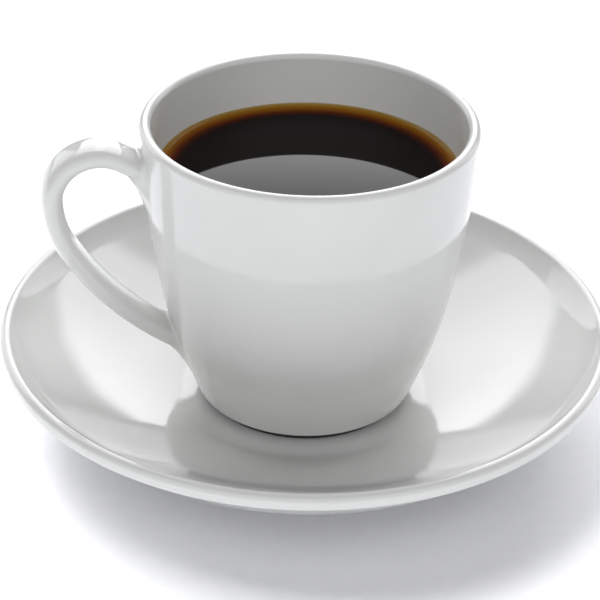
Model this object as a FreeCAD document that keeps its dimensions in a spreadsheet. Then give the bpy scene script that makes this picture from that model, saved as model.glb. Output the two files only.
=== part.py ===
"""Espresso cup with a loop handle, standing on its saucer and filled with black coffee.

Millimetres, +Z up.  The origin is the middle of the saucer's foot on the table, the cup's axis is Z
and the handle points along -X.  The cup is drawn standing on its own foot at Z = 0 and is then
placed on the saucer's well.
"""
import FreeCAD, Part
import os
from math import asin, atan2, cos, hypot, pi, radians, sin, tan

import Sketcher

V = FreeCAD.Vector

SIZES = [
    # cup, heights above its own foot
    ("rim_radius", 31.5, "outside of the cup's rim"),
    ("cup_height", 58.2, "top of the rim"),
    ("lip_radius", 1.13, "half the thickness of the rounded lip"),
    ("belly_inset", 3.4, "how far the belly's turn into the wall lies inside the rim"),
    ("belly_radius", "=rim_radius - belly_inset", "outside of the cup at that turn"),
    ("belly_height", 25.0, "height of that turn"),
    ("belly_curve", 105.0, "radius of the belly's outline"),
    ("foot_inset", 12.3, "how far the cup's foot ring lies inside the rim"),
    ("foot_radius", "=rim_radius - foot_inset", "outside of that ring"),
    ("foot_width", 2.8, "width of that ring"),
    ("foot_recess", 1.9, "height of the hollow inside that ring"),
    ("heel_overhang", 0.7, "how far the heel starts outside that ring"),
    ("heel_radius", "=foot_radius + heel_overhang", "where the rounded heel starts"),
    ("heel_height", 1.6, "underside of the heel"),
    ("heel_round", 1.5, "radius of the heel"),
    ("floor_height", 5.5, "inside floor of the cup"),
    ("floor_round", 13.5, "radius from the floor into the wall"),
    ("cavity_inset", 5.4, "how far that round's outer side lies inside the belly's turn"),
    ("floor_radius", "=belly_radius - cavity_inset - floor_round", "flat part of the floor"),
    ("wall_curve", 222.0, "radius of the inside wall's outline"),
    ("rim_clear", 2.0, "how far the cavity is cut past the rim"),
    ("cut_top", "=cup_height + rim_clear", "top of that cut"),
    ("coffee_drop", 11.2, "how far the coffee stands below the rim"),
    ("coffee_level", "=cup_height - coffee_drop", "surface of the coffee"),
    # handle, measured on its centre line from the cup's axis and foot
    ("handle_stand", 16.45, "how far the outermost point stands off the rim"),
    ("handle_reach", "=rim_radius + handle_stand", "outermost point"),
    ("handle_drop", 3.8, "how far the topmost point lies below the rim"),
    ("handle_top", "=cup_height - handle_drop", "topmost point"),
    ("handle_bend", 8.4, "radius of the top bend"),
    ("handle_rise", 30.0, "degrees that the upper arm climbs away from the wall"),
    ("handle_knee", 22.8, "radius of the side bend"),
    ("handle_turn", 31.2, "degrees of the side bend"),
    ("handle_sweep", 58.7, "radius of the lower arm"),
    ("root_depth", 11.5, "how far inside the rim the arms end, within the cup"),
    ("handle_root", "=rim_radius - root_depth", "how near the axis the arms run"),
    ("handle_thick", 4.1, "thickness of the section"),
    ("handle_wide", 8.4, "width of the section"),
    ("root_round", 1.8, "fillet between handle and wall"),
    # saucer, heights above the table
    ("saucer_margin", 27.5, "how far the saucer's rim stands out past the cup's"),
    ("saucer_radius", "=rim_radius + saucer_margin", "outside of the saucer's rim"),
    ("saucer_height", 22.0, "top of that rim"),
    ("edge_radius", 1.2, "rounding of its upper edge"),
    ("edge_band", 2.1, "from the top to the foot of the edge's upright band"),
    ("under_round", 0.8, "rounding under that band"),
    ("ring_inset", 25.0, "how far the saucer's foot ring lies inside its rim"),
    ("ring_radius", "=saucer_radius - ring_inset", "outside of that ring"),
    ("ring_width", 3.2, "width of that ring"),
    ("ring_height", 4.6, "height of that ring outside"),
    ("ring_recess", 2.8, "height of the hollow inside that ring"),
    ("ring_soften", 0.5, "rounding of the foot ring's two edges"),
    ("saucer_floor", 3.6, "thickness of the saucer over that hollow"),
    ("well_height", "=ring_recess + saucer_floor", "floor of the well that the cup stands in"),
    ("well_clear", 2.8, "room round the cup's foot in the well"),
    ("well_radius", "=foot_radius + well_clear", "edge of the well"),
    ("cove_round", 14.3, "radius from the well into the sweep"),
    ("cove_run", 4.0, "how far that cove runs outwards"),
    ("sweep_start", "=well_radius + cove_run", "where the sweep starts"),
    ("curl_inset", 6.0, "how far inside the rim the sweep turns up into the edge"),
    ("curl_start", "=saucer_radius - curl_inset", "where the sweep turns up"),
    ("curl_drop", 3.7, "how far below the rim's top that turn lies"),
    ("curl_height", "=saucer_height - curl_drop", "height of that turn"),
    ("skirt_inset", 8.0, "how far the straight skirt under the rim runs inwards"),
    ("skirt_radius", "=saucer_radius - skirt_inset", "inner end of that skirt"),
    ("skirt_drop", 9.3, "how far below the rim's top that end lies"),
    ("skirt_height", "=saucer_height - skirt_drop", "height of that end"),
]

# headings that the sketches start from where tangency then settles the exact one
HEEL_HEADING = radians(67)
CORNER_HEADING = radians(75)

START, END, CENTRE = 1, 2, 3
ORIGIN = (-1, 1)
Z_AXIS = -2


def make_sheet(doc):
    """The driving dimensions and those that follow from them, one aliased cell each."""
    sheet = doc.addObject("Spreadsheet::Sheet", "Sizes")
    for row, (name, value, meaning) in enumerate(SIZES, 1):
        sheet.set(f"A{row}", meaning)
        sheet.set(f"B{row}", str(value))
        sheet.setAlias(f"B{row}", name)
    doc.recompute()
    return sheet


def new_sketch(body, name, role):
    """An empty sketch on one of the body's own origin planes."""
    sketch = body.newObject("Sketcher::SketchObject", name)
    plane = next(item for item in body.Origin.OriginFeatures if item.Role == role)
    sketch.AttachmentSupport = [(plane, "")]
    sketch.MapMode = "FlatFace"
    return sketch


def hold(sketch, *parts):
    """Add a constraint and return its number."""
    return sketch.addConstraint(Sketcher.Constraint(*parts))


def bind(sketch, name, number, expression):
    """Name a constraint and let the sheet drive it."""
    sketch.renameConstraint(number, name)
    sketch.setExpression(f"Constraints.{name}", expression)


class Outline:
    """An XZ sketch drawn edge by edge, each smooth edge leaving along the last one's heading."""

    def __init__(self, body, name, start, heading=0.0):
        self.sketch = new_sketch(body, name, "XZ_Plane")
        self.start = start
        self.point = V(*start, 0)
        self.heading = heading
        self.last = None

    def line(self, end, smooth=False):
        """A straight edge to the end point."""
        end = V(*end, 0)
        self.heading = atan2(end.y - self.point.y, end.x - self.point.x)
        return self._join(Part.LineSegment(self.point, end), START, END, end, smooth)

    def bend(self, radius, heading):
        """An arc of the radius that ends with the given heading."""
        turn = 1 if heading > self.heading else -1
        centre = self.point + turn * radius * self._left(self.heading)
        end = centre - turn * radius * self._left(heading)
        first, final = self.heading - turn * pi / 2, heading - turn * pi / 2
        self.heading = heading
        circle = Part.Circle(centre, V(0, 0, 1), radius)
        if turn > 0:
            return self._join(Part.ArcOfCircle(circle, first, final), START, END, end, True)
        return self._join(Part.ArcOfCircle(circle, final, first), END, START, end, True)

    def curve(self, end):
        """An arc to the end point."""
        chord = V(*end, 0) - self.point
        turn = 2 * (atan2(chord.y, chord.x) - self.heading)
        return self.bend(chord.Length / (2 * abs(sin(turn / 2))), self.heading + turn)

    def meet(self, centre, radius, outside):
        """A left turn that ends tangent to a circle, outside or inside of it."""
        away = self.point - V(*centre, 0)
        reach = (radius if outside else -radius) - self._left(self.heading).dot(away)
        large = (away.Length ** 2 - radius ** 2) / (2 * reach)
        middle = self.point + large * self._left(self.heading)
        toward = V(*centre, 0) - middle
        return self.bend(large, atan2(toward.y, toward.x) + pi / 2)

    def _left(self, heading):
        return V(-sin(heading), cos(heading), 0)

    def _join(self, geometry, near_end, far_end, point, smooth):
        edge = self.sketch.addGeometry(geometry, False)
        if self.last:
            self.add("Tangent" if smooth else "Coincident", *self.last, edge, near_end)
        else:
            self.first = (edge, near_end)
        self.last = (edge, far_end)
        self.point = point
        return edge

    def close(self):
        """Back to the first point along the axis."""
        edge = self.line(self.start)
        self.add("Coincident", edge, END, *self.first)

    def add(self, *parts):
        return hold(self.sketch, *parts)

    def across(self, name, edge, end, expression, value):
        """Distance from the axis; negative values lie on the handle's side."""
        pair = (*ORIGIN, edge, end) if value > 0 else (edge, end, *ORIGIN)
        bind(self.sketch, name, self.add("DistanceX", *pair, abs(value)), expression)

    def up(self, name, edge, end, expression, value):
        bind(self.sketch, name, self.add("DistanceY", *ORIGIN, edge, end, value), expression)

    def radius(self, name, edge, expression, value):
        bind(self.sketch, name, self.add("Radius", edge, value), expression)


def revolve(doc, body, outline, kind="PartDesign::Revolution"):
    """Turn the outline about Z."""
    feature = body.newObject(kind, f"{outline.sketch.Name}_turned")
    feature.Profile = outline.sketch
    feature.ReferenceAxis = (outline.sketch, ["V_Axis"])
    feature.Angle = 360.0
    doc.recompute()
    return feature


def cup_outline(body, size):
    """Foot, heel, belly, wall and the outer half of the lip, closed along the axis."""
    foot, rim, top, lip = size.foot_radius, size.rim_radius, size.cup_height, size.lip_radius
    inner_foot = foot - size.foot_width
    drawn = Outline(body, "cup_outside", (0, size.foot_recess))
    hollow = drawn.line((inner_foot, size.foot_recess))
    inside = drawn.line((inner_foot, 0))
    sole = drawn.line((foot, 0))
    outside = drawn.line((foot, size.heel_height))
    heel_line = drawn.line((size.heel_radius, size.heel_height))
    heel = drawn.bend(size.heel_round, HEEL_HEADING)
    belly = drawn.curve((size.belly_radius, size.belly_height))
    drawn.meet((rim - lip, top - lip), lip, outside=False)
    edge = drawn.bend(lip, pi)
    roof = drawn.line((0, top))
    drawn.close()

    drawn.add("PointOnObject", hollow, START, Z_AXIS)
    drawn.add("PointOnObject", roof, END, Z_AXIS)
    drawn.up("foot_recess", hollow, START, "Sizes.foot_recess", size.foot_recess)
    drawn.add("Horizontal", hollow)
    drawn.across("foot_inside", hollow, END, "Sizes.foot_radius - Sizes.foot_width", inner_foot)
    drawn.add("Vertical", inside)
    drawn.add("PointOnObject", sole, START, -1)
    drawn.add("Horizontal", sole)
    drawn.across("foot_outside", sole, END, "Sizes.foot_radius", foot)
    drawn.add("Vertical", outside)
    drawn.up("heel_height", outside, END, "Sizes.heel_height", size.heel_height)
    drawn.add("Horizontal", heel_line)
    drawn.across("heel_radius", heel_line, END, "Sizes.heel_radius", size.heel_radius)
    drawn.radius("heel_round", heel, "Sizes.heel_round", size.heel_round)
    drawn.radius("belly_curve", belly, "Sizes.belly_curve", size.belly_curve)
    drawn.across("belly_radius", belly, END, "Sizes.belly_radius", size.belly_radius)
    drawn.up("belly_height", belly, END, "Sizes.belly_height", size.belly_height)
    lip_sizes(drawn, edge, END, size)
    drawn.add("Horizontal", roof)
    return drawn


def lip_sizes(drawn, edge, top_end, size):
    """The lip's centre and radius, and its top end straight above the centre."""
    rim, top, lip = size.rim_radius, size.cup_height, size.lip_radius
    drawn.across("lip_across", edge, CENTRE, "Sizes.rim_radius - Sizes.lip_radius", rim - lip)
    drawn.up("lip_up", edge, CENTRE, "Sizes.cup_height - Sizes.lip_radius", top - lip)
    drawn.radius("lip_radius", edge, "Sizes.lip_radius", lip)
    drawn.add("Vertical", edge, CENTRE, edge, top_end)


def cavity_outline(body, size, name):
    """Floor, rounded corner, wall and the inner half of the lip, closed along the axis."""
    rim, top, lip = size.rim_radius, size.cup_height, size.lip_radius
    drawn = Outline(body, name, (0, size.floor_height))
    floor = drawn.line((size.floor_radius, size.floor_height))
    corner = drawn.bend(size.floor_round, CORNER_HEADING)
    wall = drawn.meet((rim - lip, top - lip), lip, outside=True)
    edge = drawn.bend(lip, 0)
    mouth = drawn.line((rim - lip, size.cut_top))
    roof = drawn.line((0, size.cut_top))
    drawn.close()

    drawn.add("PointOnObject", floor, START, Z_AXIS)
    drawn.add("PointOnObject", roof, END, Z_AXIS)
    drawn.up("floor_height", floor, START, "Sizes.floor_height", size.floor_height)
    drawn.add("Horizontal", floor)
    drawn.across("floor_radius", floor, END, "Sizes.floor_radius", size.floor_radius)
    drawn.radius("floor_round", corner, "Sizes.floor_round", size.floor_round)
    drawn.radius("wall_curve", wall, "Sizes.wall_curve", size.wall_curve)
    lip_sizes(drawn, edge, START, size)
    drawn.add("Vertical", mouth)
    drawn.up("cut_top", mouth, END, "Sizes.cut_top", size.cut_top)
    drawn.add("Horizontal", roof)
    return drawn


def upper_arm(body, size):
    """From the outermost point over the top bend and down into the wall."""
    reach, top, bend = size.handle_reach, size.handle_top, size.handle_bend
    drawn = Outline(body, "upper_arm", (-reach, top - bend), pi / 2)
    over = drawn.bend(bend, -radians(size.handle_rise))
    run = -size.handle_root - drawn.point.x
    arm = drawn.line((-size.handle_root, drawn.point.y - run * tan(radians(size.handle_rise))), smooth=True)

    drawn.across("bend_across", over, CENTRE, "Sizes.handle_reach - Sizes.handle_bend", bend - reach)
    drawn.up("bend_up", over, CENTRE, "Sizes.handle_top - Sizes.handle_bend", top - bend)
    drawn.radius("handle_bend", over, "Sizes.handle_bend", bend)
    drawn.up("start_up", over, END, "Sizes.handle_top - Sizes.handle_bend", top - bend)
    climb = drawn.add("Angle", arm, radians(-size.handle_rise))
    bind(drawn.sketch, "handle_rise", climb, "-Sizes.handle_rise * 1 deg")
    drawn.across("root", arm, END, "Sizes.handle_root", -size.handle_root)
    return drawn


def lower_arm(body, size):
    """From the outermost point round the side bend and down into the wall."""
    reach, start, knee = size.handle_reach, size.handle_top - size.handle_bend, size.handle_knee
    drawn = Outline(body, "lower_arm", (-reach, start), -pi / 2)
    side = drawn.bend(knee, radians(size.handle_turn) - pi / 2)
    middle = drawn.point.x + size.handle_sweep * cos(radians(size.handle_turn))
    arm = drawn.bend(size.handle_sweep, -asin((middle + size.handle_root) / size.handle_sweep))

    drawn.across("knee_across", side, CENTRE, "Sizes.handle_reach - Sizes.handle_knee", knee - reach)
    drawn.up("knee_up", side, CENTRE, "Sizes.handle_top - Sizes.handle_bend", start)
    drawn.radius("handle_knee", side, "Sizes.handle_knee", knee)
    drawn.up("start_up", side, START, "Sizes.handle_top - Sizes.handle_bend", start)
    turn = drawn.add("Angle", side, radians(size.handle_turn))
    bind(drawn.sketch, "handle_turn", turn, "Sizes.handle_turn * 1 deg")
    drawn.radius("handle_sweep", arm, "Sizes.handle_sweep", size.handle_sweep)
    drawn.across("root", arm, END, "Sizes.handle_root", -size.handle_root)
    return drawn


def handle_section(body, size):
    """The oval section, level with the outermost point, where the handle runs straight down."""
    sketch = new_sketch(body, "handle_section", "XY_Plane")
    sketch.setExpression("AttachmentOffset.Base.z", "Sizes.handle_top - Sizes.handle_bend")
    centre = V(-size.handle_reach, 0, 0)
    tip = centre + V(0, size.handle_wide / 2, 0)
    flank = centre + V(size.handle_thick / 2, 0, 0)
    oval = sketch.addGeometry(Part.Ellipse(tip, flank, centre), False)
    sketch.exposeInternalGeometry(oval)
    long_line, short_line = oval + 1, oval + 2
    hold(sketch, "PointOnObject", oval, CENTRE, -1)
    hold(sketch, "Vertical", long_line)
    reach = hold(sketch, "DistanceX", oval, CENTRE, *ORIGIN, size.handle_reach)
    bind(sketch, "reach", reach, "Sizes.handle_reach")
    wide = hold(sketch, "DistanceY", long_line, END, long_line, START, size.handle_wide)
    bind(sketch, "wide", wide, "Sizes.handle_wide")
    thick = hold(sketch, "Distance", short_line, size.handle_thick)
    bind(sketch, "thick", thick, "Sizes.handle_thick")
    return sketch


def add_arm(doc, body, section, path):
    """Run the section along one arm's centre line."""
    arm = body.newObject("PartDesign::AdditivePipe", f"{path.sketch.Name}_swept")
    arm.Profile = section
    arm.Spine = (path.sketch, ["Edge1", "Edge2"])
    doc.recompute()
    return arm


def root_edges(shape, size):
    """The edges where the handle meets the wall: near the wall and neither level nor on the XZ plane."""
    found = []
    for number, edge in enumerate(shape.Edges, 1):
        box = edge.BoundBox
        near = max(hypot(vertex.X, vertex.Y) for vertex in edge.Vertexes) < size.rim_radius + size.root_round
        slanted = box.ZLength > size.handle_thick / 4 and box.YLength > size.handle_wide / 4
        if near and slanted and box.XMax < 0 and box.XMin > -size.rim_radius - size.root_round:
            found.append(f"Edge{number}")
    return found


def make_cup(doc, size):
    """Outside, handle, root fillets, then the cavity, and the whole stands in the saucer's well."""
    body = doc.addObject("PartDesign::Body", "cup")
    revolve(doc, body, cup_outline(body, size))
    section = handle_section(body, size)
    add_arm(doc, body, section, upper_arm(body, size))
    handle = add_arm(doc, body, section, lower_arm(body, size))
    roots = body.newObject("PartDesign::Fillet", "root_fillets")
    roots.Base = (handle, root_edges(handle.Shape, size))
    roots.setExpression("Radius", "Sizes.root_round")
    doc.recompute()
    revolve(doc, body, cavity_outline(body, size, "cavity"), "PartDesign::Groove")
    body.setExpression("Placement.Base.z", "Sizes.well_height")
    return body


def make_coffee(doc, size):
    """The cup's cavity up to the coffee's level."""
    filling = doc.addObject("PartDesign::Body", "filling")
    revolve(doc, filling, cavity_outline(filling, size, "filled_cavity"))
    level = doc.addObject("Part::Cylinder", "level")
    level.setExpression("Radius", "Sizes.rim_radius")
    level.setExpression("Height", "Sizes.coffee_level")
    coffee = doc.addObject("Part::Common", "coffee")
    coffee.Base = filling
    coffee.Tool = level
    coffee.setExpression("Placement.Base.z", "Sizes.well_height")
    return coffee


def saucer_outline(body, size):
    """Well, cove, sweep, curl, edge, skirt, underside and foot ring, closed along the axis."""
    rim, top, lip = size.saucer_radius, size.saucer_height, size.edge_radius
    ring, ring_inside = size.ring_radius, size.ring_radius - size.ring_width
    drawn = Outline(body, "saucer_outline", (0, size.well_height))
    well = drawn.line((size.well_radius, size.well_height))
    cove = drawn.bend(size.cove_round, asin((size.sweep_start - size.well_radius) / size.cove_round))
    sweep = drawn.curve((size.curl_start, size.curl_height))
    drawn.meet((rim - lip, top - lip), lip, outside=True)
    edge = drawn.bend(lip, -pi / 2)
    band_foot = top - size.edge_band
    band = drawn.line((rim, band_foot), smooth=True)
    skirt_end = (size.skirt_radius, size.skirt_height)
    fall = V(*skirt_end, 0) - V(rim - size.under_round, band_foot, 0)
    under_round = drawn.bend(size.under_round, atan2(fall.y, fall.x) - asin(size.under_round / fall.Length))
    skirt = drawn.line(skirt_end, smooth=True)
    drawn.curve((ring, size.ring_height))
    outside = drawn.line((ring, 0))
    sole = drawn.line((ring_inside, 0))
    inside = drawn.line((ring_inside, size.ring_recess))
    hollow = drawn.line((0, size.ring_recess))
    drawn.close()

    drawn.add("PointOnObject", well, START, Z_AXIS)
    drawn.up("well_height", well, START, "Sizes.well_height", size.well_height)
    drawn.add("Horizontal", well)
    drawn.across("well_radius", well, END, "Sizes.well_radius", size.well_radius)
    drawn.radius("cove_round", cove, "Sizes.cove_round", size.cove_round)
    drawn.across("sweep_start", cove, END, "Sizes.sweep_start", size.sweep_start)
    drawn.across("curl_start", sweep, END, "Sizes.curl_start", size.curl_start)
    drawn.up("curl_height", sweep, END, "Sizes.curl_height", size.curl_height)
    drawn.across("edge_across", edge, CENTRE, "Sizes.saucer_radius - Sizes.edge_radius", rim - lip)
    drawn.up("edge_up", edge, CENTRE, "Sizes.saucer_height - Sizes.edge_radius", top - lip)
    drawn.radius("edge_radius", edge, "Sizes.edge_radius", lip)
    drawn.add("Vertical", band)
    drawn.up("band_foot", band, END, "Sizes.saucer_height - Sizes.edge_band", band_foot)
    drawn.radius("under_round", under_round, "Sizes.under_round", size.under_round)
    drawn.across("skirt_radius", skirt, END, "Sizes.skirt_radius", size.skirt_radius)
    drawn.up("skirt_height", skirt, END, "Sizes.skirt_height", size.skirt_height)
    drawn.across("ring_radius", outside, START, "Sizes.ring_radius", ring)
    drawn.up("ring_height", outside, START, "Sizes.ring_height", size.ring_height)
    drawn.add("Vertical", outside)
    drawn.add("PointOnObject", outside, END, -1)
    drawn.add("Horizontal", sole)
    drawn.across("ring_inside", sole, END, "Sizes.ring_radius - Sizes.ring_width", ring_inside)
    drawn.add("Vertical", inside)
    drawn.up("ring_recess", inside, END, "Sizes.ring_recess", size.ring_recess)
    drawn.add("Horizontal", hollow)
    drawn.add("PointOnObject", hollow, END, Z_AXIS)
    return drawn


def make_saucer(doc, size):
    """The turned saucer with its foot ring's edges softened."""
    body = doc.addObject("PartDesign::Body", "saucer")
    turned = revolve(doc, body, saucer_outline(body, size))
    on_table = [f"Edge{number}" for number, edge in enumerate(turned.Shape.Edges, 1)
                if edge.BoundBox.ZMax < size.ring_soften and edge.BoundBox.ZLength < size.ring_soften]
    soft = body.newObject("PartDesign::Fillet", "softened_foot")
    soft.Base = (turned, on_table)
    soft.setExpression("Radius", "Sizes.ring_soften")
    return body


class Sizes:
    """The sheet's values by name."""

    def __init__(self, sheet):
        for name, _, _ in SIZES:
            setattr(self, name, float(sheet.get(name)))


def check(doc, parts):
    """Stop before anything is written if an object failed or a shape isn't sound."""
    for item in doc.Objects:
        failed = {"Invalid", "Error"} & set(item.State)
        if failed:
            raise RuntimeError(f"{item.Name}: {failed}")
        if item.TypeId == "Sketcher::SketchObject" and not item.FullyConstrained:
            raise RuntimeError(f"{item.Name}: not held by its sizes")
    for part in parts:
        if part.Shape.isNull() or not part.Shape.isValid() or len(part.Shape.Solids) != 1:
            raise RuntimeError(f"{part.Label}: unsound shape")
        print(part.Label, "volume", round(part.Shape.Volume), part.Shape.optimalBoundingBox())


def main():
    doc = FreeCAD.newDocument("espresso_shot")
    size = Sizes(make_sheet(doc))
    parts = [make_saucer(doc, size), make_cup(doc, size), make_coffee(doc, size)]
    doc.recompute()
    check(doc, parts)
    os.makedirs("parts", exist_ok=True)
    for part in parts:
        part.Shape.exportStep(f"parts/{part.Label}.step")


main()
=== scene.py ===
# A white espresso cup on its saucer, filled with black coffee, on a bright studio table.
# Shapes are worked out in millimetres, in the CAD frame, and become metres when a mesh is made.
import math

import bpy
import numpy as np
from mathutils import Matrix, Vector
from mathutils.geometry import delaunay_2d_cdt


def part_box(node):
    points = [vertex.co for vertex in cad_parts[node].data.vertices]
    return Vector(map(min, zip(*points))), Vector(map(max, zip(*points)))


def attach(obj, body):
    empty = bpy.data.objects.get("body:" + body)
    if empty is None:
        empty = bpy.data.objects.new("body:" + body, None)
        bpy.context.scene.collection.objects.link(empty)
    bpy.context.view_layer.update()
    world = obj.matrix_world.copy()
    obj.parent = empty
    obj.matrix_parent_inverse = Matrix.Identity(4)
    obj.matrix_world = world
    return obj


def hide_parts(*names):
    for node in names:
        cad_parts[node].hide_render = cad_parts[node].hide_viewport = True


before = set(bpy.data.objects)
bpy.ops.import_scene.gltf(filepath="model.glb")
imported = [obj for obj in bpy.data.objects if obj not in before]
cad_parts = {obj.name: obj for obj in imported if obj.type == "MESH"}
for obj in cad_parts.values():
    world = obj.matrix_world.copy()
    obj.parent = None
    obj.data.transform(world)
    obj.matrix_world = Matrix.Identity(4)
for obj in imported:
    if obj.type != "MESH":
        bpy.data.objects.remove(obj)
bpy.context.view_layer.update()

MM = 0.001
CUP_LOW, CUP_HIGH = (np.array(corner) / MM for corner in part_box("cup"))
SAUCER_HIGH = np.array(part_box("saucer")[1]) / MM
COFFEE_LOW, COFFEE_HIGH = (np.array(corner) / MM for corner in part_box("coffee"))

# cup, heights above its own foot
FOOT_Z = CUP_LOW[2]
RIM = CUP_HIGH[1]
CUP_HEIGHT = CUP_HIGH[2] - FOOT_Z
LIP = 1.13
BELLY = (28.1, 25.0)
HEEL_RADIUS, HEEL_HEIGHT, HEEL_ROUND = 19.9, 1.6, 1.5
HEEL_HEADING = math.radians(67)
HEEL_CREASE = 0.3
FOOT_RADIUS, FOOT_WIDTH, FOOT_RECESS = 19.2, 2.8, 1.9
# height of the band above the cup's foot that is painted near-black: painted shade in the slot under the heel
FOOT_SHADE_HEIGHT = 1.5
FLOOR = COFFEE_LOW[2] - FOOT_Z
FLOOR_RADIUS, FLOOR_ROUND = 9.2, 13.5
CORNER_HEADING = math.radians(75)

# handle, on its centre line from the cup's axis and foot
HANDLE_THICK, HANDLE_WIDE, HANDLE_SQUARE = 4.1, 8.4, 2.6
REACH = -CUP_LOW[0] - HANDLE_THICK / 2
HANDLE_TOP = CUP_HEIGHT - 3.8
HANDLE_RISE = math.radians(30)
HANDLE_BEND, HANDLE_KNEE, HANDLE_SWEEP = 8.4, 22.8, 58.7
HANDLE_TURN = math.radians(31.2)
HANDLE_ROOT, SWEEP_LENGTH = 20.0, 34
# fillets at the handle's roots: run along the wall, run along the handle, fullness
PLAIN_ROOT = (1.3, 1.2, 0.6)
UPPER_FLARE = (8.5, 4.8, 0.42)
LOWER_FLARE = (5.6, 4.2, 0.5)

# saucer, heights above the table
SAUCER = SAUCER_HIGH[0]
SAUCER_TOP = SAUCER_HIGH[2]
EDGE, EDGE_BAND, UNDER_ROUND = 1.2, 2.1, 0.8
SKIRT_END = (SAUCER - 8.0, SAUCER_TOP - 9.3)
WELL_RADIUS, WELL_HEIGHT = 22.0, FOOT_Z
COVE_ROUND, SWEEP_START = 14.3, 26.0
CURL_START, CURL_HEIGHT = 53.0, 18.3
RING_RADIUS, RING_WIDTH, RING_HEIGHT, RING_RECESS = 34.0, 3.2, 4.6, 2.8
RING_CREASE, CREASE_SHARE = 0.6, 0.82

# coffee, heights above the cup's foot
COFFEE_LEVEL = COFFEE_HIGH[2] - FOOT_Z
MENISCUS_RISE, MENISCUS_REACH, WALL_BITE = 1.3, 1.7, 0.15
MENISCUS_ROWS, FIRST_ROW, POOL_ROWS, LIP_ROWS = 44, 0.05, 8, 12
# the drink's colours from the wall inwards, as shares of the amber rim's width
AMBER_DEPTH = 5.0
COFFEE_TINTS = [(0.0, (0.36, 0.28, 0.15)), (0.06, (0.30, 0.17, 0.03)), (0.2, (0.23, 0.085, 0.005)),
                (0.42, (0.09, 0.016, 0.002)), (0.62, (0.018, 0.004, 0.002)), (0.85, (0.003, 0.0008, 0.0008))]

# camera, light and floor; the floor's and its lamp's sizes are in metres
CAMERA_AZIMUTH = math.radians(12.0)
CAMERA_PITCH, CAMERA_YAW, CAMERA_ROLL = math.radians(30.85), math.radians(-0.2), math.radians(1.27)
CAMERA_DISTANCE, CAMERA_HEIGHT, CAMERA_LENS = 322.7, 212.2 + FOOT_Z, 116.23
FLOOR_HALF, WASH_SIZE, WASH_PLACE = 3.0, 0.5, (-0.32, 0.16, 0.85)
SOFTBOX_LIGHT, SIDE_SHARE, FILL_LIGHT, DARK_LIGHT, FLOOR_WASH = 3.4, 0.52, 1.15, 0.18, 7.5
# the studio by direction: slopes between a direction's parts to the right, to the back and up
CRISP = 0.02
CEILING_SPREAD, CEILING_WIDENING, CEILING_START = 0.72, 0.05, 0.5
SIDE_START, SIDE_SHIFT_ON_RIGHT, SIDE_TOP, SIDE_END = 0.63, 0.2, 1.1, 1.75
CORE_HALF, CORE_BACK, CORE_UP = 0.11, 0.5, 0.4
FRONT_FROM, FRONT_LOW, FRONT_HIGH = -0.35, 0.2, 0.85

# fineness of the meshes, and the room left round the handle's roots
CORNER = 0.5
STEP, HANDLE_STEP, WALL_STEP, LARGEST_TURN = 0.75, 0.1, 0.05, 0.12
SEGMENTS = 240
AROUND_HANDLE, ALONG_HANDLE, ROOT_STEPS = 56, 120, 9
ROOT_ROOM, ROOT_CLEAR = 1.0, 1.12


class Pen:
    """Draws an outline as points and headings, with smooth arcs."""

    def __init__(self, start, heading=0.0, step=STEP):
        self.points = [np.array(start, float)]
        self.headings = [heading]
        self.step = step

    def forward(self, distance):
        """Straight on along the heading."""
        count = max(1, math.ceil(distance / self.step))
        start, heading = self.points[-1], self.headings[-1]
        along = np.array([math.cos(heading), math.sin(heading)])
        for part in range(1, count + 1):
            self.points.append(start + along * distance * part / count)
            self.headings.append(heading)

    def bend(self, radius, heading):
        """An arc of the radius that ends with the given heading."""
        first = self.headings[-1]
        turn = 1 if heading > first else -1
        centre = self.points[-1] + turn * radius * left(first)
        sweep = abs(heading - first)
        count = math.ceil(max(2, sweep * radius / self.step, sweep / LARGEST_TURN))
        for part in range(1, count + 1):
            now = first + (heading - first) * part / count
            self.points.append(centre - turn * radius * left(now))
            self.headings.append(now)

    def curve(self, end):
        """An arc to the end point."""
        chord = np.array(end) - self.points[-1]
        turn = 2 * (math.atan2(chord[1], chord[0]) - self.headings[-1])
        turn = (turn + math.pi) % (2 * math.pi) - math.pi
        self.bend(math.hypot(*chord) / (2 * abs(math.sin(turn / 2))), self.headings[-1] + turn)

    def meet(self, centre, radius, outside):
        """A left turn that ends tangent to a circle, outside or inside of it."""
        side = left(self.headings[-1])
        away = self.points[-1] - np.array(centre)
        reach = (radius if outside else -radius) - side @ away
        large = (away @ away - radius ** 2) / (2 * reach)
        toward = np.array(centre) - (self.points[-1] + large * side)
        self.bend(large, math.atan2(toward[1], toward[0]) + math.pi / 2)

    def outline(self):
        return np.array(self.points), np.array(self.headings)


def left(heading):
    return np.array([-math.sin(heading), math.cos(heading)])


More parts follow.
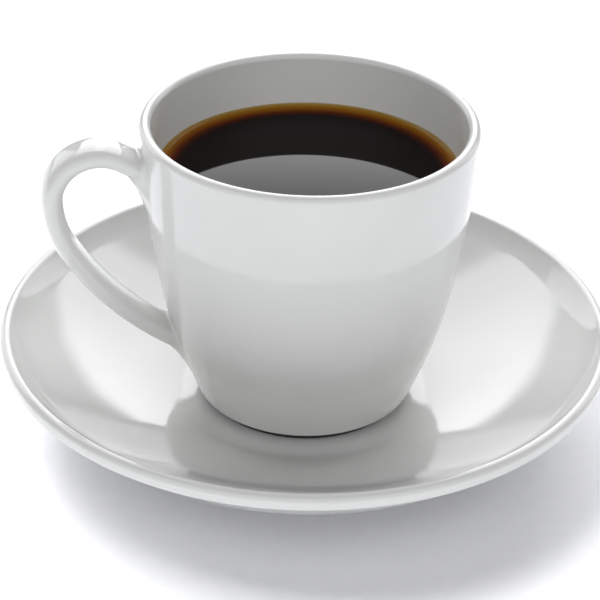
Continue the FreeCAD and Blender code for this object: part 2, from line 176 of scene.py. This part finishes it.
class Shell:
    """Vertices with their normals, and faces, in millimetres."""

    def __init__(self):
        self.points, self.normals, self.faces = [], [], []

    def add(self, points, normals):
        """Adds vertices and returns their numbers, in the same array shape."""
        shape = points.shape[:-1]
        first = len(self.points)
        self.points.extend(points.reshape(-1, 3))
        self.normals.extend(normals.reshape(-1, 3))
        return np.arange(first, len(self.points)).reshape(shape)

    def skin(self, grid, skip=None):
        """Quads between the rows of a grid that closes round on itself."""
        rows, columns = grid.shape
        for row in range(rows - 1):
            for column in range(columns):
                if skip is not None and skip[row, column]:
                    continue
                right = (column + 1) % columns
                self.faces.append((grid[row, column], grid[row, right],
                                   grid[row + 1, right], grid[row + 1, column]))

    def cap(self, ring, pole, reverse):
        """A fan of triangles from a ring to its pole."""
        for column, corner in enumerate(ring):
            pair = (corner, ring[(column + 1) % len(ring)])
            self.faces.append((pair[1], pair[0], pole) if reverse else (pair[0], pair[1], pole))

    def build(self, name):
        """The Blender object, in metres, with the exact normals and no loose vertices."""
        points, normals = np.array(self.points) * MM, np.array(self.normals)
        used = np.unique(np.concatenate([np.array(face, int) for face in self.faces]))
        fresh = np.full(len(points), -1)
        fresh[used] = np.arange(len(used))
        mesh = bpy.data.meshes.new(name)
        faces = [[int(fresh[corner]) for corner in face] for face in self.faces]
        mesh.from_pydata(points[used].tolist(), [], faces)
        mesh.shade_smooth()
        mesh.normals_split_custom_set_from_vertices(normals[used].tolist())
        piece = bpy.data.objects.new(name, mesh)
        bpy.context.scene.collection.objects.link(piece)
        return piece


def round_about(radius, height, angle):
    """Points at angles from the handle's side, -X, turning towards -Y."""
    radius, height, angle = np.broadcast_arrays(radius, height, angle)
    return np.stack([-radius * np.cos(angle), -radius * np.sin(angle), height], -1)


def turned(shell, points, headings, lift, skip_windows=()):
    """A lathe-turned skin from an outline that starts and ends on the axis; returns the rows' numbers."""
    angles = np.linspace(0, 2 * math.pi, SEGMENTS, endpoint=False)
    body = slice(1, len(points) - 1)
    radius, height = points[body, 0, None], points[body, 1, None] + lift
    out, up = np.sin(headings[body, None]), -np.cos(headings[body, None])
    grid = shell.add(round_about(radius, height, angles[None, :]), round_about(out, up, angles[None, :]))
    skip = np.zeros(grid.shape, bool)
    for first_row, last_row, reach in skip_windows:
        skip[first_row:last_row, :reach] = True
        skip[first_row:last_row, -reach:] = True
    shell.skin(grid, skip)
    bottom = shell.add(np.array([0, 0, points[0, 1] + lift]), np.array([0, 0, -1.0]))
    top = shell.add(np.array([0, 0, points[-1, 1] + lift]), np.array([0, 0, 1.0]))
    shell.cap(grid[0], bottom, True)
    shell.cap(grid[-1], top, False)
    return grid


def foot_outline(pen, ring_outside, ring_width, recess, height):
    """The hollow under a foot ring, the ring and its outside, up to the given height."""
    inside = ring_outside - ring_width
    pen.forward(inside - CORNER)
    pen.bend(CORNER, -math.pi / 2)
    pen.forward(recess - 2 * CORNER)
    pen.bend(CORNER, 0)
    pen.forward(ring_width - 2 * CORNER)
    pen.bend(CORNER, math.pi / 2)
    pen.forward(height - CORNER)


def cup_outside(step=STEP):
    """From the hollow under the foot up the wall to the top of the lip."""
    pen = Pen((0, FOOT_RECESS), step=step)
    foot_outline(pen, FOOT_RADIUS, FOOT_WIDTH, FOOT_RECESS, HEEL_HEIGHT - HEEL_CREASE)
    pen.bend(HEEL_CREASE, 0)
    pen.forward(HEEL_RADIUS - FOOT_RADIUS - HEEL_CREASE)
    pen.bend(HEEL_ROUND, HEEL_HEADING)
    wall_start = len(pen.points) - 1
    pen.curve(BELLY)
    pen.meet((RIM - LIP, CUP_HEIGHT - LIP), LIP, outside=False)
    wall_end = len(pen.points) - 1
    pen.bend(LIP, math.pi)
    return *pen.outline(), wall_start, wall_end


def cavity():
    """From the middle of the inside floor up to the top of the lip."""
    pen = Pen((0, FLOOR))
    pen.forward(FLOOR_RADIUS)
    pen.bend(FLOOR_ROUND, CORNER_HEADING)
    pen.meet((RIM - LIP, CUP_HEIGHT - LIP), LIP, outside=True)
    pen.bend(LIP, 0)
    return pen.outline()


class Wall:
    """The cup's outer wall as fine tables of radius, slope and length along it, by height."""

    def __init__(self):
        points, headings, start, end = cup_outside(step=WALL_STEP)
        self.height = points[start:end, 1]
        self.radius_table, self.heading_table = points[start:end, 0], headings[start:end]
        steps = np.hypot(*np.diff(points[start:end], axis=0).T)
        self.run = np.r_[0, np.cumsum(steps)]

    def radius(self, height):
        return np.interp(height, self.height, self.radius_table)

    def along(self, height):
        return np.interp(height, self.height, self.run)

    def normal(self, height, angle):
        heading = np.interp(height, self.height, self.heading_table)
        return round_about(np.sin(heading), -np.cos(heading), angle)

    def seat(self, points):
        """The points moved level onto the wall."""
        angle = np.arctan2(-points[..., 1], -points[..., 0])
        return round_about(self.radius(points[..., 2]), points[..., 2], angle)

    def inside(self, points):
        return np.hypot(points[..., 0], points[..., 1]) < self.radius(points[..., 2])


def unit(vectors):
    return vectors / np.linalg.norm(vectors, axis=-1, keepdims=True)


def handle_line():
    """The handle's centre line as points (distance from the axis, height) and headings."""
    middle = np.array([REACH - HANDLE_BEND, HANDLE_TOP - HANDLE_BEND])
    crest = middle + HANDLE_BEND * left(HANDLE_RISE)
    run = (crest[0] - HANDLE_ROOT) / math.cos(HANDLE_RISE)
    start = crest - run * np.array([math.cos(HANDLE_RISE), math.sin(HANDLE_RISE)])
    pen = Pen(start, HANDLE_RISE, step=HANDLE_STEP)
    pen.forward(run)
    pen.bend(HANDLE_BEND, -math.pi / 2)
    pen.bend(HANDLE_KNEE, -math.pi / 2 - HANDLE_TURN)
    pen.bend(HANDLE_SWEEP, -math.pi / 2 - HANDLE_TURN - SWEEP_LENGTH / HANDLE_SWEEP)
    return pen.outline()


def oval(angles):
    """The section's half sizes towards the handle's outside and sideways."""
    power = 2 / HANDLE_SQUARE
    out = np.sign(np.cos(angles)) * np.abs(np.cos(angles)) ** power * HANDLE_THICK / 2
    side = np.sign(np.sin(angles)) * np.abs(np.sin(angles)) ** power * HANDLE_WIDE / 2
    return out, side


def generator_lines(wall):
    """The handle's surface as lines along it, one for each angle round the section."""
    line, headings = handle_line()
    angles = np.linspace(0, 2 * math.pi, AROUND_HANDLE, endpoint=False)
    out, side = oval(angles)
    normal = np.stack([-np.sin(headings), np.cos(headings)], -1)
    flat = line[:, None] + normal[:, None] * out[None, :, None]
    across = np.broadcast_to(side, flat.shape[:2])
    points = np.stack([-flat[..., 0], across, flat[..., 1]], -1)
    outward = np.stack(
        [-normal[:, None, 0] * np.cos(angles), np.broadcast_to(np.sin(angles), flat.shape[:2]),
         normal[:, None, 1] * np.cos(angles)], -1)
    return angles, points, outward


def root_curve(wall, tube_point, tube_direction, meeting, outward, spread, fullness):
    """A smooth fillet from the handle's side onto the wall, ending tangent to both."""
    angle = math.atan2(-meeting[1], -meeting[0])
    normal = wall.normal(meeting[2], angle)
    away = unit(outward - (outward @ normal) * normal)
    foot = wall.seat(meeting + away * spread)
    foot_normal = wall.normal(foot[2], math.atan2(-foot[1], -foot[0]))
    chord = foot - meeting
    tangent = unit(chord - (chord @ foot_normal) * foot_normal)
    reach = np.linalg.norm(meeting - tube_point)
    corners = [tube_point, tube_point + tube_direction * reach * fullness,
               foot - tangent * spread * fullness, foot]
    share = np.linspace(0, 1, ROOT_STEPS + 1)[1:, None]
    weights = [(1 - share) ** 3, 3 * share * (1 - share) ** 2, 3 * share ** 2 * (1 - share), share ** 3]
    return sum(weight * corner for weight, corner in zip(weights, corners))


def handle_grid(wall):
    """Rows round the handle from its upper root on the wall to its lower root."""
    angles, points, outward = generator_lines(wall)
    columns = []
    for column, angle in enumerate(angles):
        line = points[:, column]
        outside = np.flatnonzero(~wall.inside(line))
        first, last = outside[0], outside[-1]
        run = np.r_[0, np.cumsum(np.linalg.norm(np.diff(line, axis=0), axis=1))]
        under_top, under_low = max(0.0, -math.cos(angle)) ** 2, max(0.0, math.cos(angle)) ** 2
        top = [plain + (flare - plain) * under_top for plain, flare in zip(PLAIN_ROOT, UPPER_FLARE)]
        low = [plain + (flare - plain) * under_low for plain, flare in zip(PLAIN_ROOT, LOWER_FLARE)]
        even = np.linspace(run[first] + top[1], run[last] - low[1], ALONG_HANDLE)
        tube = np.stack([np.interp(even, run, line[:, axis]) for axis in range(3)], -1)
        upper = root_curve(wall, tube[0], unit(tube[0] - tube[1]), line[first], outward[first, column],
                           top[0], top[2])
        lower = root_curve(wall, tube[-1], unit(tube[-1] - tube[-2]), line[last], outward[last, column],
                           low[0], low[2])
        columns.append(np.concatenate([upper[::-1], tube, lower]))
    return np.stack(columns, 1)


def grid_normals(grid, wall):
    """Normals of the handle's grid, and the wall's own along both roots."""
    along = np.gradient(grid, axis=0)
    around = np.roll(grid, -1, axis=1) - np.roll(grid, 1, axis=1)
    normals = unit(np.cross(along, around))
    middle = grid[len(grid) // 2]
    if np.sum((middle - middle.mean(0)) * normals[len(grid) // 2]) < 0:
        normals = -normals
    for row in (0, -1):
        normals[row] = wall.normal(grid[row, :, 2], np.arctan2(-grid[row, :, 1], -grid[row, :, 0]))
    return normals


def inside_loop(points, loop):
    """Which flat points lie inside a closed loop."""
    inside = np.zeros(len(points), bool)
    for (x0, y0), (x1, y1) in zip(loop, np.roll(loop, -1, axis=0)):
        crosses = (y0 > points[:, 1]) != (y1 > points[:, 1])
        at = x0 + (points[:, 1] - y0) / np.where(y1 == y0, 1, y1 - y0) * (x1 - x0)
        inside ^= crosses & (points[:, 0] < at)
    return inside


def join_root(shell, grid, rows, window, ring_points, ring_numbers, wall):
    """Fills the wall's window round one root of the handle with triangles."""
    first_row, last_row, reach = window
    columns = np.arange(-reach, reach + 1)
    turn = 2 * math.pi / SEGMENTS
    flat_rows = wall.along(rows)[:, None] * np.ones(len(columns))
    flat_columns = np.ones(len(rows))[:, None] * columns * turn * BELLY[0]
    patch = np.stack([flat_columns, flat_rows], -1)[first_row:last_row + 1]
    numbers = grid[first_row:last_row + 1][:, columns % SEGMENTS]
    ring_angle = np.arctan2(-ring_points[:, 1], -ring_points[:, 0])
    ring = np.stack([ring_angle * BELLY[0], wall.along(ring_points[:, 2])], -1)
    centre = ring.mean(0)
    keep = ~inside_loop(patch.reshape(-1, 2), centre + (ring - centre) * ROOT_CLEAR).reshape(patch.shape[:2])
    height, width = keep.shape
    flat = [tuple(point) for point in patch[keep]] + [tuple(point) for point in ring]
    source = list(numbers[keep]) + list(ring_numbers)
    place = np.full(keep.shape, -1)
    place[keep] = np.arange(keep.sum())
    edge = ([place[0, column] for column in range(width)] + [place[row, -1] for row in range(1, height)]
            + [place[-1, column] for column in range(width - 2, -1, -1)]
            + [place[row, 0] for row in range(height - 2, 0, -1)])
    loop = [int(keep.sum()) + number for number in range(len(ring))]
    pairs = [(int(a), int(b)) for a, b in zip(edge, edge[1:] + edge[:1])]
    pairs += list(zip(loop, loop[1:] + loop[:1]))
    vertices, _, faces, origins, _, _ = delaunay_2d_cdt([Vector(point) for point in flat], pairs, [], 0, 1e-7)
    middles = np.array([np.mean([vertices[corner][:] for corner in face], axis=0) for face in faces])
    for face, hidden in zip(faces, inside_loop(middles, ring)):
        if not hidden:
            shell.faces.append([source[origins[corner][0]] for corner in face])


def make_cup():
    """The cup and its handle as one closed skin."""
    outer, outer_headings, wall_start, wall_end = cup_outside()
    inner, inner_headings = cavity()
    points = np.concatenate([outer, inner[-2::-1]])
    headings = np.concatenate([outer_headings, inner_headings[-2::-1] + math.pi])
    wall = Wall()
    handle = handle_grid(wall)
    normals = grid_normals(handle, wall)
    rows = points[1:-1, 1]
    wall_rows = np.arange(wall_start - 1, wall_end - 1)
    windows = []
    for ring in (handle[0], handle[-1]):
        low, high = ring[:, 2].min() - ROOT_ROOM, ring[:, 2].max() + ROOT_ROOM
        inside = wall_rows[(rows[wall_rows] > low) & (rows[wall_rows] < high)]
        angle = np.abs(np.arctan2(-ring[:, 1], -ring[:, 0])).max()
        windows.append((inside[0] - 1, inside[-1] + 1, math.ceil(angle / (2 * math.pi / SEGMENTS)) + 2))
    shell = Shell()
    grid = turned(shell, points, headings, FOOT_Z, windows)
    lift = np.array([0, 0, FOOT_Z])
    numbers = shell.add(handle + lift, normals)
    shell.skin(numbers)
    for window, row in zip(windows, (0, -1)):
        join_root(shell, grid, rows, window, handle[row], numbers[row], wall)
    return shell.build("glazed_cup")


def make_saucer():
    """The saucer: well, cove, sweep, curled edge, skirt, underside and foot ring."""
    pen = Pen((0, WELL_HEIGHT))
    pen.forward(WELL_RADIUS)
    pen.bend(COVE_ROUND, math.asin((SWEEP_START - WELL_RADIUS) / COVE_ROUND))
    pen.curve((CURL_START, CURL_HEIGHT))
    pen.meet((SAUCER - EDGE, SAUCER_TOP - EDGE), EDGE, outside=True)
    pen.bend(EDGE, -math.pi / 2)
    pen.forward(EDGE_BAND - EDGE)
    fall = np.array(SKIRT_END) - (SAUCER - UNDER_ROUND, SAUCER_TOP - EDGE_BAND)
    length = math.hypot(*fall)
    pen.bend(UNDER_ROUND, math.atan2(fall[1], fall[0]) - math.asin(UNDER_ROUND / length))
    pen.forward(math.sqrt(length ** 2 - UNDER_ROUND ** 2))
    pen.curve((RING_RADIUS + CREASE_SHARE * RING_CREASE, RING_HEIGHT))
    pen.bend(RING_CREASE, -math.pi / 2)
    pen.forward(pen.points[-1][1] - CORNER)
    pen.bend(CORNER, -math.pi)
    pen.forward(RING_WIDTH - 2 * CORNER)
    pen.bend(CORNER, -1.5 * math.pi)
    pen.forward(RING_RECESS - 2 * CORNER)
    pen.bend(CORNER, -math.pi)
    pen.forward(pen.points[-1][0])
    points, headings = pen.outline()
    shell = Shell()
    turned(shell, points[::-1], headings[::-1] + math.pi, 0.0)
    return shell.build("glazed_saucer")


def make_coffee():
    """The coffee with its meniscus, biting just into the cup's wall."""
    wall, headings = cavity()
    contact = COFFEE_LEVEL + MENISCUS_RISE
    below = wall[:, 1] < contact
    sides = wall[below] + WALL_BITE * np.stack([np.sin(headings[below]), -np.cos(headings[below])], -1)
    sides[0, 0] = 0
    brim = float(np.interp(contact, wall[:-LIP_ROWS, 1], wall[:-LIP_ROWS, 0]))
    inward = np.r_[0, np.geomspace(FIRST_ROW, brim * 0.5, MENISCUS_ROWS)]
    inward = np.r_[inward, np.linspace(brim * 0.5, brim, POOL_ROWS)[1:]]
    rise = MENISCUS_RISE * np.exp(-inward / MENISCUS_REACH)
    surface = np.stack([brim - inward, COFFEE_LEVEL + rise], -1)
    slope = np.arctan2(-rise / MENISCUS_REACH, -np.ones(len(rise)))
    surface_headings = np.where(slope < 0, slope + 2 * math.pi, slope)
    lip_points = np.array([[brim + WALL_BITE, contact]])
    points = np.concatenate([sides, lip_points, surface])
    all_headings = np.concatenate([headings[below], [math.pi], surface_headings])
    shell = Shell()
    turned(shell, points, all_headings, FOOT_Z)
    return shell.build("black_coffee"), brim


class Material:
    """A Principled material with a small set of node helpers."""

    def __init__(self, name):
        self.material = bpy.data.materials.new(name)
        self.material.use_nodes = True
        self.nodes, self.links = self.material.node_tree.nodes, self.material.node_tree.links
        self.shader = self.nodes["Principled BSDF"]

    def node(self, kind, inputs=None, **settings):
        made = self.nodes.new(kind)
        for name, value in settings.items():
            setattr(made, name, value)
        for name, value in (inputs or {}).items():
            self.feed(made.inputs[name], value)
        return made

    def feed(self, socket, value):
        """Sets a socket, or links it when the value is another socket."""
        if isinstance(value, bpy.types.NodeSocket):
            self.links.new(value, socket)
        else:
            socket.default_value = value

    def set(self, **values):
        for name, value in values.items():
            self.feed(self.shader.inputs[name.replace("_", " ")], value)

    def math(self, operation, first, second=0.0):
        made = self.node("ShaderNodeMath", operation=operation)
        self.feed(made.inputs[0], first)
        self.feed(made.inputs[1], second)
        return made.outputs[0]

    def ramp(self, factor, stops):
        made = self.node("ShaderNodeValToRGB", {"Fac": factor})
        elements = made.color_ramp.elements
        while len(elements) < len(stops):
            elements.new(1.0)
        for element, (position, colour) in zip(elements, stops):
            element.position = position
            element.color = (*colour, 1)
        return made.outputs["Color"]

    def mix(self, factor, first, second):
        made = self.node("ShaderNodeMix", data_type="RGBA")
        self.feed(made.inputs[0], factor)
        self.feed(made.inputs[6], first if isinstance(first, bpy.types.NodeSocket) else (*first, 1))
        self.feed(made.inputs[7], second if isinstance(second, bpy.types.NodeSocket) else (*second, 1))
        return made.outputs[2]

    def range(self, value, low, high, to_low=0.0, to_high=1.0):
        made = self.node("ShaderNodeMapRange", {"Value": value, "From Min": low, "From Max": high,
                                                "To Min": to_low, "To Max": to_high})
        return made.outputs["Result"]


def glaze(name, bare_and_shade_below, clay_and_shade_colour):
    """White glaze with faint mottling and ripple, left off the foot below a height; there the given colour is
    used, which on the cup is near-black painted shade in the slot under the heel.
    """
    made = Material(name)
    place = made.node("ShaderNodeTexCoord").outputs["Object"]
    cloud = made.node("ShaderNodeTexNoise", {"Vector": place, "Scale": 55.0, "Detail": 3.0}).outputs["Fac"]
    white = made.ramp(cloud, [(0.3, (0.65, 0.655, 0.64)), (0.7, (0.68, 0.685, 0.67))])
    height = made.node("ShaderNodeSeparateXYZ", {"Vector": place}).outputs["Z"]
    # below the height: a bare, rough foot in the given colour; on the cup that colour is near-black painted
    # shade
    bare_and_shade = made.range(height, bare_and_shade_below + 0.0001, bare_and_shade_below, 0.0, 1.0)
    made.set(Base_Color=made.mix(bare_and_shade, white, clay_and_shade_colour))
    grain = made.node("ShaderNodeTexNoise", {"Vector": place, "Scale": 2600.0, "Detail": 2.0}).outputs["Fac"]
    smooth = made.range(cloud, 0.3, 0.7, 0.045, 0.075)
    rough = made.math("MAXIMUM", smooth, made.math("MULTIPLY", bare_and_shade, 0.55))
    made.set(Roughness=rough, IOR=1.52)
    ripple = made.node("ShaderNodeTexNoise", {"Vector": place, "Scale": 120.0, "Detail": 2.0}).outputs["Fac"]
    bare_grain = made.math("MULTIPLY", made.math("MULTIPLY", grain, bare_and_shade), 2.0)
    relief = made.math("ADD", ripple, bare_grain)
    bump = made.node("ShaderNodeBump", {"Height": relief, "Strength": 0.06, "Distance": 0.0004})
    made.set(Normal=bump.outputs["Normal"])
    return made.material


def coffee_material(brim):
    """Near-black coffee that thins to amber where it climbs the white wall."""
    made = Material("black_coffee")
    place = made.node("ShaderNodeTexCoord").outputs["Object"]
    level = made.node("ShaderNodeVectorMath", {0: place, 1: (1.0, 1.0, 0.0)},
                      operation="MULTIPLY").outputs[0]
    radius = made.node("ShaderNodeVectorMath", {0: level}, operation="LENGTH").outputs["Value"]
    waver = made.node("ShaderNodeTexNoise", {"Vector": place, "Scale": 90.0, "Detail": 2.0}).outputs["Fac"]
    inward = made.math("SUBTRACT", brim * MM, radius)
    inward = made.math("ADD", inward, made.range(waver, 0.0, 1.0, -0.0002, 0.0002))
    depth = made.range(inward, 0.0, AMBER_DEPTH * MM)
    made.set(Base_Color=made.ramp(depth, COFFEE_TINTS), Roughness=0.03, IOR=1.13)
    return made.material


def floor_material():
    made = Material("table_white")
    place = made.node("ShaderNodeTexCoord").outputs["Object"]
    grain = made.node("ShaderNodeTexNoise", {"Vector": place, "Scale": 300.0, "Detail": 2.0}).outputs["Fac"]
    white = made.ramp(grain, [(0.3, (0.84, 0.84, 0.87)), (0.7, (0.86, 0.86, 0.89))])
    made.set(Base_Color=white, Roughness=0.7)
    return made.material


def put_on(piece, material, slot_name, *nodes):
    piece.data.materials.append(material)
    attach(piece, "root")
    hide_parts(*nodes)


def make_floor():
    """A pale table top, lit a little more than the crockery by a lamp of its own."""
    mesh = bpy.data.meshes.new("floor")
    half = FLOOR_HALF
    corners = [(-half, -half, 0), (half, -half, 0), (half, half, 0), (-half, half, 0)]
    mesh.from_pydata(corners, [], [(0, 1, 2, 3)])
    floor = bpy.data.objects.new("floor", mesh)
    floor.data.materials.append(floor_material())
    bpy.context.scene.collection.objects.link(floor)
    light = bpy.data.lights.new("floor_wash", "AREA")
    light.size = WASH_SIZE
    light.energy = FLOOR_WASH
    lamp = bpy.data.objects.new("floor_wash", light)
    lamp.location = WASH_PLACE
    lamp.rotation_euler = (-lamp.location).to_track_quat("-Z", "Y").to_euler()
    lamp.visible_glossy = False
    bpy.context.scene.collection.objects.link(lamp)
    floor_only = bpy.data.collections.new("floor_only")
    floor_only.objects.link(floor)
    lamp.light_linking.receiver_collection = floor_only


class Sky(Material):
    """The studio as light by direction, with the camera's side in front."""

    def __init__(self):
        world = bpy.data.worlds.new("studio")
        bpy.context.scene.world = world
        world.use_nodes = True
        self.nodes, self.links = world.node_tree.nodes, world.node_tree.links
        self.shader = self.nodes["Background"]
        direction = self.node("ShaderNodeTexCoord").outputs["Generated"]
        facing = self.node("ShaderNodeVectorRotate",
                           {"Vector": direction, "Axis": (0, 0, 1), "Angle": CAMERA_AZIMUTH})
        split = self.node("ShaderNodeSeparateXYZ", {"Vector": facing.outputs["Vector"]})
        self.right, self.back, self.up = (split.outputs[name] for name in "XYZ")

    def above(self, value, edge, soft=0.04):
        """One where the value passes the edge, and zero below it."""
        made = self.node("ShaderNodeMapRange", {"From Min": -soft, "From Max": soft},
                         interpolation_type="SMOOTHSTEP")
        self.feed(made.inputs["Value"], self.math("SUBTRACT", value, edge))
        return made.outputs["Result"]

    def times(self, *factors):
        product = factors[0]
        for factor in factors[1:]:
            product = self.math("MULTIPLY", product, factor)
        return product


def make_sky():
    """A long softbox behind and above, a dimmer one on either side, a fill in front, and dark between."""
    sky = Sky()
    ahead = sky.math("MAXIMUM", sky.back, 0.001)
    aside = sky.math("ABSOLUTE", sky.right)
    reach = sky.math("ADD", sky.math("MULTIPLY", sky.up, CEILING_SPREAD),
                     sky.math("MULTIPLY", ahead, CEILING_WIDENING))
    overhead = sky.times(sky.above(reach, aside, CRISP),
                         sky.above(sky.back, sky.math("MULTIPLY", sky.up, CEILING_START), 0.06))
    on_right = sky.above(sky.right, 0.0, 0.001)
    near_edge = sky.math("ADD", sky.math("MULTIPLY", on_right, SIDE_SHIFT_ON_RIGHT), SIDE_START)
    side = sky.times(sky.above(aside, sky.math("MULTIPLY", ahead, near_edge), CRISP),
                     sky.above(sky.math("MULTIPLY", ahead, SIDE_TOP), sky.up, CRISP),
                     sky.above(sky.up, 0.03, 0.03),
                     sky.above(sky.math("MULTIPLY", ahead, SIDE_END), aside, 0.15))
    core = sky.times(sky.above(CORE_HALF, aside, CRISP), sky.above(sky.back, CORE_BACK, 0.1),
                     sky.above(sky.up, CORE_UP, CRISP),
                     sky.range(sky.up, 0.444, 0.47, 1.6, 0.3))
    boxes = sky.math("MAXIMUM", overhead, sky.math("MULTIPLY", side, SIDE_SHARE))
    softbox = sky.math("ADD", boxes, core)
    front = sky.times(sky.above(FRONT_FROM, sky.back, 0.25), sky.above(sky.up, FRONT_LOW, 0.25),
                      sky.above(FRONT_HIGH, sky.up, 0.15))
    light = sky.math("ADD", sky.math("MULTIPLY", softbox, SOFTBOX_LIGHT),
                     sky.math("MULTIPLY", front, FILL_LIGHT))
    sky.feed(sky.shader.inputs["Strength"], sky.math("ADD", light, DARK_LIGHT))
    sky.shader.inputs["Color"].default_value = (0.985, 0.99, 1.0, 1)


def make_camera():
    """The view from above the front, a little to the handle's side."""
    pitch, yaw, roll = CAMERA_PITCH, CAMERA_YAW, CAMERA_ROLL
    ahead = Vector((math.sin(yaw) * math.cos(pitch), math.cos(yaw) * math.cos(pitch), -math.sin(pitch)))
    right = Vector((math.cos(yaw), -math.sin(yaw), 0))
    above = right.cross(ahead)
    side = right * math.cos(roll) + above * math.sin(roll)
    top = above * math.cos(roll) - right * math.sin(roll)
    turn = Matrix((side, top, -ahead)).transposed().to_4x4()
    data = bpy.data.cameras.new("camera")
    data.lens = CAMERA_LENS
    data.sensor_width = 36.0
    data.clip_start = 0.02
    camera = bpy.data.objects.new("camera", data)
    place = Matrix.Translation((0, -CAMERA_DISTANCE * MM, CAMERA_HEIGHT * MM))
    camera.matrix_world = Matrix.Rotation(-CAMERA_AZIMUTH, 4, "Z") @ place @ turn
    bpy.context.scene.collection.objects.link(camera)
    bpy.context.scene.camera = camera


cup = make_cup()
saucer = make_saucer()
coffee, coffee_brim = make_coffee()
# the cup's foot band under the heel is painted near-black as painted shade; the saucer's ring keeps its bare
# clay colour
put_on(cup, glaze("cup_glaze", (FOOT_Z + FOOT_SHADE_HEIGHT) * MM, (0.02, 0.018, 0.016)), "cup_glaze", "cup")
put_on(saucer, glaze("saucer_glaze", 0.0003, (0.66, 0.63, 0.57)), "saucer_glaze", "saucer")
put_on(coffee, coffee_material(coffee_brim), "black_coffee", "coffee")
make_floor()
make_sky()
make_camera()
bpy.context.scene.view_settings.view_transform = "Standard"
